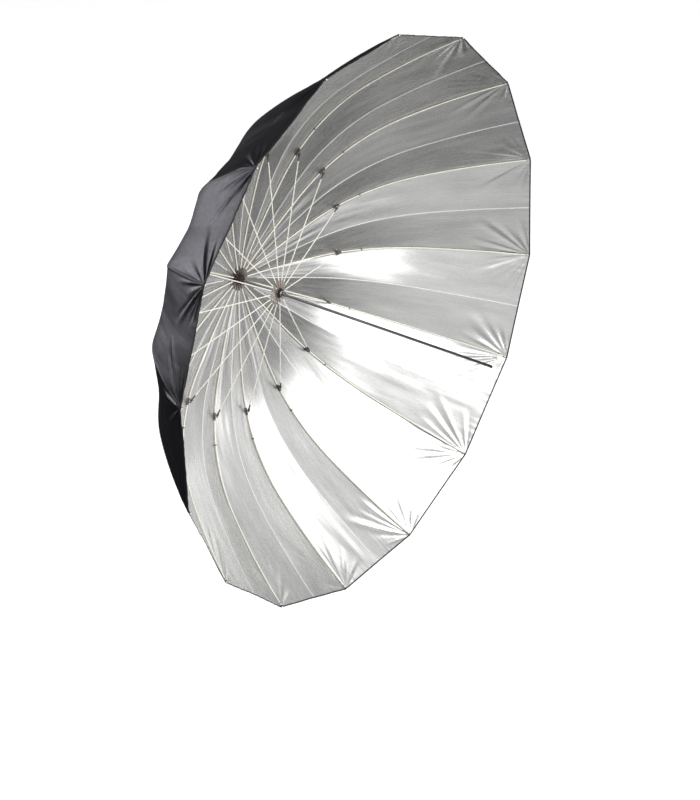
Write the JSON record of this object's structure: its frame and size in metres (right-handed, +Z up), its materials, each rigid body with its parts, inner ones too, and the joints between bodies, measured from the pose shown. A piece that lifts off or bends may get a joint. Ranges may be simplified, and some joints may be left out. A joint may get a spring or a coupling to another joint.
{
  "type": "umbrella reflector",
  "caption": "Deep folding umbrella with a silver inside and black outside that bounces a studio lamp's light.",
  "frame": {"origin": "on the shaft's axis, at the place where a lamp head's umbrella holder grips it, open canopy at rest", "axes": "-Y along the shaft towards its free end, the side that the silver hollow faces; +Z up; the apex is at +Y"},
  "size_m": [1.6358, 0.894, 1.6358],
  "materials": {
    "fibreglass": "satin",
    "cloth": "satin",
    "shaft_steel": "satin",
    "bright_steel": "satin",
    "brown_plastic": "satin",
    "black_plastic": "satin",
    "liner_plastic": "satin"
  },
  "bodies": {
    "root": {"shaft": "shaft_steel", "shaft_end_plug": "black_plastic", "notch": "brown_plastic", "notch_wire": "bright_steel", "notch_pin": "bright_steel", "ferrule": "black_plastic", "apex_washer": "bright_steel", "apex_patch": "cloth"},
    "runner": {"runner": "brown_plastic", "runner_liner": "liner_plastic"},
    "catch": {"catch": "bright_steel"},
    "rib_01": {"rib_01": "fibreglass"},
    "rib_02": {"rib_02": "fibreglass"},
    "rib_03": {"rib_03": "fibreglass"},
    "rib_04": {"rib_04": "fibreglass"},
    "rib_05": {"rib_05": "fibreglass"},
    "rib_06": {"rib_06": "fibreglass"},
    "rib_07": {"rib_07": "fibreglass"},
    "rib_08": {"rib_08": "fibreglass"},
    "rib_09": {"rib_09": "fibreglass"},
    "rib_10": {"rib_10": "fibreglass"},
    "rib_11": {"rib_11": "fibreglass"},
    "rib_12": {"rib_12": "fibreglass"},
    "rib_13": {"rib_13": "fibreglass"},
    "rib_14": {"rib_14": "fibreglass"},
    "rib_15": {"rib_15": "fibreglass"},
    "rib_16": {"rib_16": "fibreglass"},
    "stretcher_01": {"stretcher_01": "fibreglass"},
    "stretcher_02": {"stretcher_02": "fibreglass"},
    "stretcher_03": {"stretcher_03": "fibreglass"},
    "stretcher_04": {"stretcher_04": "fibreglass"},
    "stretcher_05": {"stretcher_05": "fibreglass"},
    "stretcher_06": {"stretcher_06": "fibreglass"},
    "stretcher_07": {"stretcher_07": "fibreglass"},
    "stretcher_08": {"stretcher_08": "fibreglass"},
    "stretcher_09": {"stretcher_09": "fibreglass"},
    "stretcher_10": {"stretcher_10": "fibreglass"},
    "stretcher_11": {"stretcher_11": "fibreglass"},
    "stretcher_12": {"stretcher_12": "fibreglass"},
    "stretcher_13": {"stretcher_13": "fibreglass"},
    "stretcher_14": {"stretcher_14": "fibreglass"},
    "stretcher_15": {"stretcher_15": "fibreglass"},
    "stretcher_16": {"stretcher_16": "fibreglass"},
    "gore_01": {"gore_01": "cloth"},
    "gore_02": {"gore_02": "cloth"},
    "gore_03": {"gore_03": "cloth"},
    "gore_04": {"gore_04": "cloth"},
    "gore_05": {"gore_05": "cloth"},
    "gore_06": {"gore_06": "cloth"},
    "gore_07": {"gore_07": "cloth"},
    "gore_08": {"gore_08": "cloth"},
    "gore_09": {"gore_09": "cloth"},
    "gore_10": {"gore_10": "cloth"},
    "gore_11": {"gore_11": "cloth"},
    "gore_12": {"gore_12": "cloth"},
    "gore_13": {"gore_13": "cloth"},
    "gore_14": {"gore_14": "cloth"},
    "gore_15": {"gore_15": "cloth"},
    "gore_16": {"gore_16": "cloth"}
  },
  "joints": [
    {"name": "runner_slide", "type": "slide", "parent": "root", "child": "runner", "axis": [0, -1, 0], "range_m": [0, 0.5801]},
    {"name": "catch_press", "type": "slide", "parent": "root", "child": "catch", "axis": [0, 0, -1], "range_m": [0, 0.0029], "stiffness_N_per_m": 300},
    {"name": "rib_01_hinge", "type": "hinge", "parent": "root", "child": "rib_01", "pos_m": [0.00172, 0.51, 0.01188], "axis": [0.9897, 0, -0.1435], "range_deg": [0, 59.01]},
    {"name": "rib_02_hinge", "type": "hinge", "parent": "root", "child": "rib_02", "pos_m": [0.00614, 0.51, 0.01031], "axis": [0.8594, 0, -0.5113], "range_deg": [0, 59.01]},
    {"name": "rib_03_hinge", "type": "hinge", "parent": "root", "child": "rib_03", "pos_m": [0.00962, 0.51, 0.00718], "axis": [0.5983, 0, -0.8013], "range_deg": [0, 59.01]},
    {"name": "rib_04_hinge", "type": "hinge", "parent": "root", "child": "rib_04", "pos_m": [0.01163, 0.51, 0.00295], "axis": [0.2462, 0, -0.9692], "range_deg": [0, 59.01]},
    {"name": "rib_05_hinge", "type": "hinge", "parent": "root", "child": "rib_05", "pos_m": [0.01188, 0.51, -0.00172], "axis": [-0.1435, 0, -0.9897], "range_deg": [0, 59.01]},
    {"name": "rib_06_hinge", "type": "hinge", "parent": "root", "child": "rib_06", "pos_m": [0.01031, 0.51, -0.00614], "axis": [-0.5113, 0, -0.8594], "range_deg": [0, 59.01]},
    {"name": "rib_07_hinge", "type": "hinge", "parent": "root", "child": "rib_07", "pos_m": [0.00718, 0.51, -0.00962], "axis": [-0.8013, 0, -0.5983], "range_deg": [0, 59.01]},
    {"name": "rib_08_hinge", "type": "hinge", "parent": "root", "child": "rib_08", "pos_m": [0.00295, 0.51, -0.01163], "axis": [-0.9692, 0, -0.2462], "range_deg": [0, 59.01]},
    {"name": "rib_09_hinge", "type": "hinge", "parent": "root", "child": "rib_09", "pos_m": [-0.00172, 0.51, -0.01188], "axis": [-0.9897, 0, 0.1435], "range_deg": [0, 59.01]},
    {"name": "rib_10_hinge", "type": "hinge", "parent": "root", "child": "rib_10", "pos_m": [-0.00614, 0.51, -0.01031], "axis": [-0.8594, 0, 0.5113], "range_deg": [0, 59.01]},
    {"name": "rib_11_hinge", "type": "hinge", "parent": "root", "child": "rib_11", "pos_m": [-0.00962, 0.51, -0.00718], "axis": [-0.5983, 0, 0.8013], "range_deg": [0, 59.01]},
    {"name": "rib_12_hinge", "type": "hinge", "parent": "root", "child": "rib_12", "pos_m": [-0.01163, 0.51, -0.00295], "axis": [-0.2462, 0, 0.9692], "range_deg": [0, 59.01]},
    {"name": "rib_13_hinge", "type": "hinge", "parent": "root", "child": "rib_13", "pos_m": [-0.01188, 0.51, 0.00172], "axis": [0.1435, 0, 0.9897], "range_deg": [0, 59.01]},
    {"name": "rib_14_hinge", "type": "hinge", "parent": "root", "child": "rib_14", "pos_m": [-0.01031, 0.51, 0.00614], "axis": [0.5113, 0, 0.8594], "range_deg": [0, 59.01]},
    {"name": "rib_15_hinge", "type": "hinge", "parent": "root", "child": "rib_15", "pos_m": [-0.00718, 0.51, 0.00962], "axis": [0.8013, 0, 0.5983], "range_deg": [0, 59.01]},
    {"name": "rib_16_hinge", "type": "hinge", "parent": "root", "child": "rib_16", "pos_m": [-0.00295, 0.51, 0.01163], "axis": [0.9692, 0, 0.2462], "range_deg": [0, 59.01]},
    {"name": "stretcher_01_hinge", "type": "hinge", "parent": "rib_01", "child": "stretcher_01", "pos_m": [0.05635, 0.44294, 0.38863], "axis": [0.9897, 0, -0.1435], "range_deg": [-116.75, 0]},
    {"name": "stretcher_02_hinge", "type": "hinge", "parent": "rib_02", "child": "stretcher_02", "pos_m": [0.20078, 0.44294, 0.33748], "axis": [0.8594, 0, -0.5113], "range_deg": [-116.75, 0]},
    {"name": "stretcher_03_hinge", "type": "hinge", "parent": "rib_03", "child": "stretcher_03", "pos_m": [0.31465, 0.44294, 0.23496], "axis": [0.5983, 0, -0.8013], "range_deg": [-116.75, 0]},
    {"name": "stretcher_04_hinge", "type": "hinge", "parent": "rib_04", "child": "stretcher_04", "pos_m": [0.38061, 0.44294, 0.09666], "axis": [0.2462, 0, -0.9692], "range_deg": [-116.75, 0]},
    {"name": "stretcher_05_hinge", "type": "hinge", "parent": "rib_05", "child": "stretcher_05", "pos_m": [0.38863, 0.44294, -0.05635], "axis": [-0.1435, 0, -0.9897], "range_deg": [-116.75, 0]},
    {"name": "stretcher_06_hinge", "type": "hinge", "parent": "rib_06", "child": "stretcher_06", "pos_m": [0.33748, 0.44294, -0.20078], "axis": [-0.5113, 0, -0.8594], "range_deg": [-116.75, 0]},
    {"name": "stretcher_07_hinge", "type": "hinge", "parent": "rib_07", "child": "stretcher_07", "pos_m": [0.23496, 0.44294, -0.31465], "axis": [-0.8013, 0, -0.5983], "range_deg": [-116.75, 0]},
    {"name": "stretcher_08_hinge", "type": "hinge", "parent": "rib_08", "child": "stretcher_08", "pos_m": [0.09666, 0.44294, -0.38061], "axis": [-0.9692, 0, -0.2462], "range_deg": [-116.75, 0]},
    {"name": "stretcher_09_hinge", "type": "hinge", "parent": "rib_09", "child": "stretcher_09", "pos_m": [-0.05635, 0.44294, -0.38863], "axis": [-0.9897, 0, 0.1435], "range_deg": [-116.75, 0]},
    {"name": "stretcher_10_hinge", "type": "hinge", "parent": "rib_10", "child": "stretcher_10", "pos_m": [-0.20078, 0.44294, -0.33748], "axis": [-0.8594, 0, 0.5113], "range_deg": [-116.75, 0]},
    {"name": "stretcher_11_hinge", "type": "hinge", "parent": "rib_11", "child": "stretcher_11", "pos_m": [-0.31465, 0.44294, -0.23496], "axis": [-0.5983, 0, 0.8013], "range_deg": [-116.75, 0]},
    {"name": "stretcher_12_hinge", "type": "hinge", "parent": "rib_12", "child": "stretcher_12", "pos_m": [-0.38061, 0.44294, -0.09666], "axis": [-0.2462, 0, 0.9692], "range_deg": [-116.75, 0]},
    {"name": "stretcher_13_hinge", "type": "hinge", "parent": "rib_13", "child": "stretcher_13", "pos_m": [-0.38863, 0.44294, 0.05635], "axis": [0.1435, 0, 0.9897], "range_deg": [-116.75, 0]},
    {"name": "stretcher_14_hinge", "type": "hinge", "parent": "rib_14", "child": "stretcher_14", "pos_m": [-0.33748, 0.44294, 0.20078], "axis": [0.5113, 0, 0.8594], "range_deg": [-116.75, 0]},
    {"name": "stretcher_15_hinge", "type": "hinge", "parent": "rib_15", "child": "stretcher_15", "pos_m": [-0.23496, 0.44294, 0.31465], "axis": [0.8013, 0, 0.5983], "range_deg": [-116.75, 0]},
    {"name": "stretcher_16_hinge", "type": "hinge", "parent": "rib_16", "child": "stretcher_16", "pos_m": [-0.09666, 0.44294, 0.38061], "axis": [0.9692, 0, 0.2462], "range_deg": [-116.75, 0]},
    {"name": "gore_01_fold", "type": "hinge", "parent": "rib_01", "child": "gore_01", "pos_m": [0.00096, 0.50481, 0.00272], "axis": [-0.2919, -0.4852, -0.8242], "range_deg": [0, 22.06], "deforming": ["gore_01"]},
    {"name": "gore_02_fold", "type": "hinge", "parent": "rib_02", "child": "gore_02", "pos_m": [0.00193, 0.50481, 0.00214], "axis": [-0.5851, -0.4852, -0.6498], "range_deg": [0, 22.06], "deforming": ["gore_02"]},
    {"name": "gore_03_fold", "type": "hinge", "parent": "rib_03", "child": "gore_03", "pos_m": [0.0026, 0.50481, 0.00124], "axis": [-0.7892, -0.4852, -0.3764], "range_deg": [0, 22.06], "deforming": ["gore_03"]},
    {"name": "gore_04_fold", "type": "hinge", "parent": "rib_04", "child": "gore_04", "pos_m": [0.00288, 0.50481, 0.00015], "axis": [-0.8732, -0.4852, -0.0458], "range_deg": [0, 22.06], "deforming": ["gore_04"]},
    {"name": "gore_05_fold", "type": "hinge", "parent": "rib_05", "child": "gore_05", "pos_m": [0.00272, 0.50481, -0.00096], "axis": [-0.8242, -0.4852, 0.2919], "range_deg": [0, 22.06], "deforming": ["gore_05"]},
    {"name": "gore_06_fold", "type": "hinge", "parent": "rib_06", "child": "gore_06", "pos_m": [0.00214, 0.50481, -0.00193], "axis": [-0.6498, -0.4852, 0.5851], "range_deg": [0, 22.06], "deforming": ["gore_06"]},
    {"name": "gore_07_fold", "type": "hinge", "parent": "rib_07", "child": "gore_07", "pos_m": [0.00124, 0.50481, -0.0026], "axis": [-0.3764, -0.4852, 0.7892], "range_deg": [0, 22.06], "deforming": ["gore_07"]},
    {"name": "gore_08_fold", "type": "hinge", "parent": "rib_08", "child": "gore_08", "pos_m": [0.00015, 0.50481, -0.00288], "axis": [-0.0458, -0.4852, 0.8732], "range_deg": [0, 22.06], "deforming": ["gore_08"]},
    {"name": "gore_09_fold", "type": "hinge", "parent": "rib_09", "child": "gore_09", "pos_m": [-0.00096, 0.50481, -0.00272], "axis": [0.2919, -0.4852, 0.8242], "range_deg": [0, 22.06], "deforming": ["gore_09"]},
    {"name": "gore_10_fold", "type": "hinge", "parent": "rib_10", "child": "gore_10", "pos_m": [-0.00193, 0.50481, -0.00214], "axis": [0.5851, -0.4852, 0.6498], "range_deg": [0, 22.06], "deforming": ["gore_10"]},
    {"name": "gore_11_fold", "type": "hinge", "parent": "rib_11", "child": "gore_11", "pos_m": [-0.0026, 0.50481, -0.00124], "axis": [0.7892, -0.4852, 0.3764], "range_deg": [0, 22.06], "deforming": ["gore_11"]},
    {"name": "gore_12_fold", "type": "hinge", "parent": "rib_12", "child": "gore_12", "pos_m": [-0.00288, 0.50481, -0.00015], "axis": [0.8732, -0.4852, 0.0458], "range_deg": [0, 22.06], "deforming": ["gore_12"]},
    {"name": "gore_13_fold", "type": "hinge", "parent": "rib_13", "child": "gore_13", "pos_m": [-0.00272, 0.50481, 0.00096], "axis": [0.8242, -0.4852, -0.2919], "range_deg": [0, 22.06], "deforming": ["gore_13"]},
    {"name": "gore_14_fold", "type": "hinge", "parent": "rib_14", "child": "gore_14", "pos_m": [-0.00214, 0.50481, 0.00193], "axis": [0.6498, -0.4852, -0.5851], "range_deg": [0, 22.06], "deforming": ["gore_14"]},
    {"name": "gore_15_fold", "type": "hinge", "parent": "rib_15", "child": "gore_15", "pos_m": [-0.00124, 0.50481, 0.0026], "axis": [0.3764, -0.4852, -0.7892], "range_deg": [0, 22.06], "deforming": ["gore_15"]},
    {"name": "gore_16_fold", "type": "hinge", "parent": "rib_16", "child": "gore_16", "pos_m": [-0.00015, 0.50481, 0.00288], "axis": [0.0458, -0.4852, -0.8732], "range_deg": [0, 22.06], "deforming": ["gore_16"]}
  ],
  "couplings": [
    {"joint": "rib_01_hinge", "follows": "runner_slide", "rad_per_m": 1.7751},
    {"joint": "rib_02_hinge", "follows": "runner_slide", "rad_per_m": 1.7751},
    {"joint": "rib_03_hinge", "follows": "runner_slide", "rad_per_m": 1.7751},
    {"joint": "rib_04_hinge", "follows": "runner_slide", "rad_per_m": 1.7751},
    {"joint": "rib_05_hinge", "follows": "runner_slide", "rad_per_m": 1.7751},
    {"joint": "rib_06_hinge", "follows": "runner_slide", "rad_per_m": 1.7751},
    {"joint": "rib_07_hinge", "follows": "runner_slide", "rad_per_m": 1.7751},
    {"joint": "rib_08_hinge", "follows": "runner_slide", "rad_per_m": 1.7751},
    {"joint": "rib_09_hinge", "follows": "runner_slide", "rad_per_m": 1.7751},
    {"joint": "rib_10_hinge", "follows": "runner_slide", "rad_per_m": 1.7751},
    {"joint": "rib_11_hinge", "follows": "runner_slide", "rad_per_m": 1.7751},
    {"joint": "rib_12_hinge", "follows": "runner_slide", "rad_per_m": 1.7751},
    {"joint": "rib_13_hinge", "follows": "runner_slide", "rad_per_m": 1.7751},
    {"joint": "rib_14_hinge", "follows": "runner_slide", "rad_per_m": 1.7751},
    {"joint": "rib_15_hinge", "follows": "runner_slide", "rad_per_m": 1.7751},
    {"joint": "rib_16_hinge", "follows": "runner_slide", "rad_per_m": 1.7751},
    {"joint": "stretcher_01_hinge", "follows": "runner_slide", "rad_per_m": -3.5122},
    {"joint": "stretcher_02_hinge", "follows": "runner_slide", "rad_per_m": -3.5122},
    {"joint": "stretcher_03_hinge", "follows": "runner_slide", "rad_per_m": -3.5122},
    {"joint": "stretcher_04_hinge", "follows": "runner_slide", "rad_per_m": -3.5122},
    {"joint": "stretcher_05_hinge", "follows": "runner_slide", "rad_per_m": -3.5122},
    {"joint": "stretcher_06_hinge", "follows": "runner_slide", "rad_per_m": -3.5122},
    {"joint": "stretcher_07_hinge", "follows": "runner_slide", "rad_per_m": -3.5122},
    {"joint": "stretcher_08_hinge", "follows": "runner_slide", "rad_per_m": -3.5122},
    {"joint": "stretcher_09_hinge", "follows": "runner_slide", "rad_per_m": -3.5122},
    {"joint": "stretcher_10_hinge", "follows": "runner_slide", "rad_per_m": -3.5122},
    {"joint": "stretcher_11_hinge", "follows": "runner_slide", "rad_per_m": -3.5122},
    {"joint": "stretcher_12_hinge", "follows": "runner_slide", "rad_per_m": -3.5122},
    {"joint": "stretcher_13_hinge", "follows": "runner_slide", "rad_per_m": -3.5122},
    {"joint": "stretcher_14_hinge", "follows": "runner_slide", "rad_per_m": -3.5122},
    {"joint": "stretcher_15_hinge", "follows": "runner_slide", "rad_per_m": -3.5122},
    {"joint": "stretcher_16_hinge", "follows": "runner_slide", "rad_per_m": -3.5122},
    {"joint": "gore_01_fold", "follows": "runner_slide", "rad_per_m": 0.66344},
    {"joint": "gore_02_fold", "follows": "runner_slide", "rad_per_m": 0.66344},
    {"joint": "gore_03_fold", "follows": "runner_slide", "rad_per_m": 0.66344},
    {"joint": "gore_04_fold", "follows": "runner_slide", "rad_per_m": 0.66344},
    {"joint": "gore_05_fold", "follows": "runner_slide", "rad_per_m": 0.66344},
    {"joint": "gore_06_fold", "follows": "runner_slide", "rad_per_m": 0.66344},
    {"joint": "gore_07_fold", "follows": "runner_slide", "rad_per_m": 0.66344},
    {"joint": "gore_08_fold", "follows": "runner_slide", "rad_per_m": 0.66344},
    {"joint": "gore_09_fold", "follows": "runner_slide", "rad_per_m": 0.66344},
    {"joint": "gore_10_fold", "follows": "runner_slide", "rad_per_m": 0.66344},
    {"joint": "gore_11_fold", "follows": "runner_slide", "rad_per_m": 0.66344},
    {"joint": "gore_12_fold", "follows": "runner_slide", "rad_per_m": 0.66344},
    {"joint": "gore_13_fold", "follows": "runner_slide", "rad_per_m": 0.66344},
    {"joint": "gore_14_fold", "follows": "runner_slide", "rad_per_m": 0.66344},
    {"joint": "gore_15_fold", "follows": "runner_slide", "rad_per_m": 0.66344},
    {"joint": "gore_16_fold", "follows": "runner_slide", "rad_per_m": 0.66344}
  ]
}
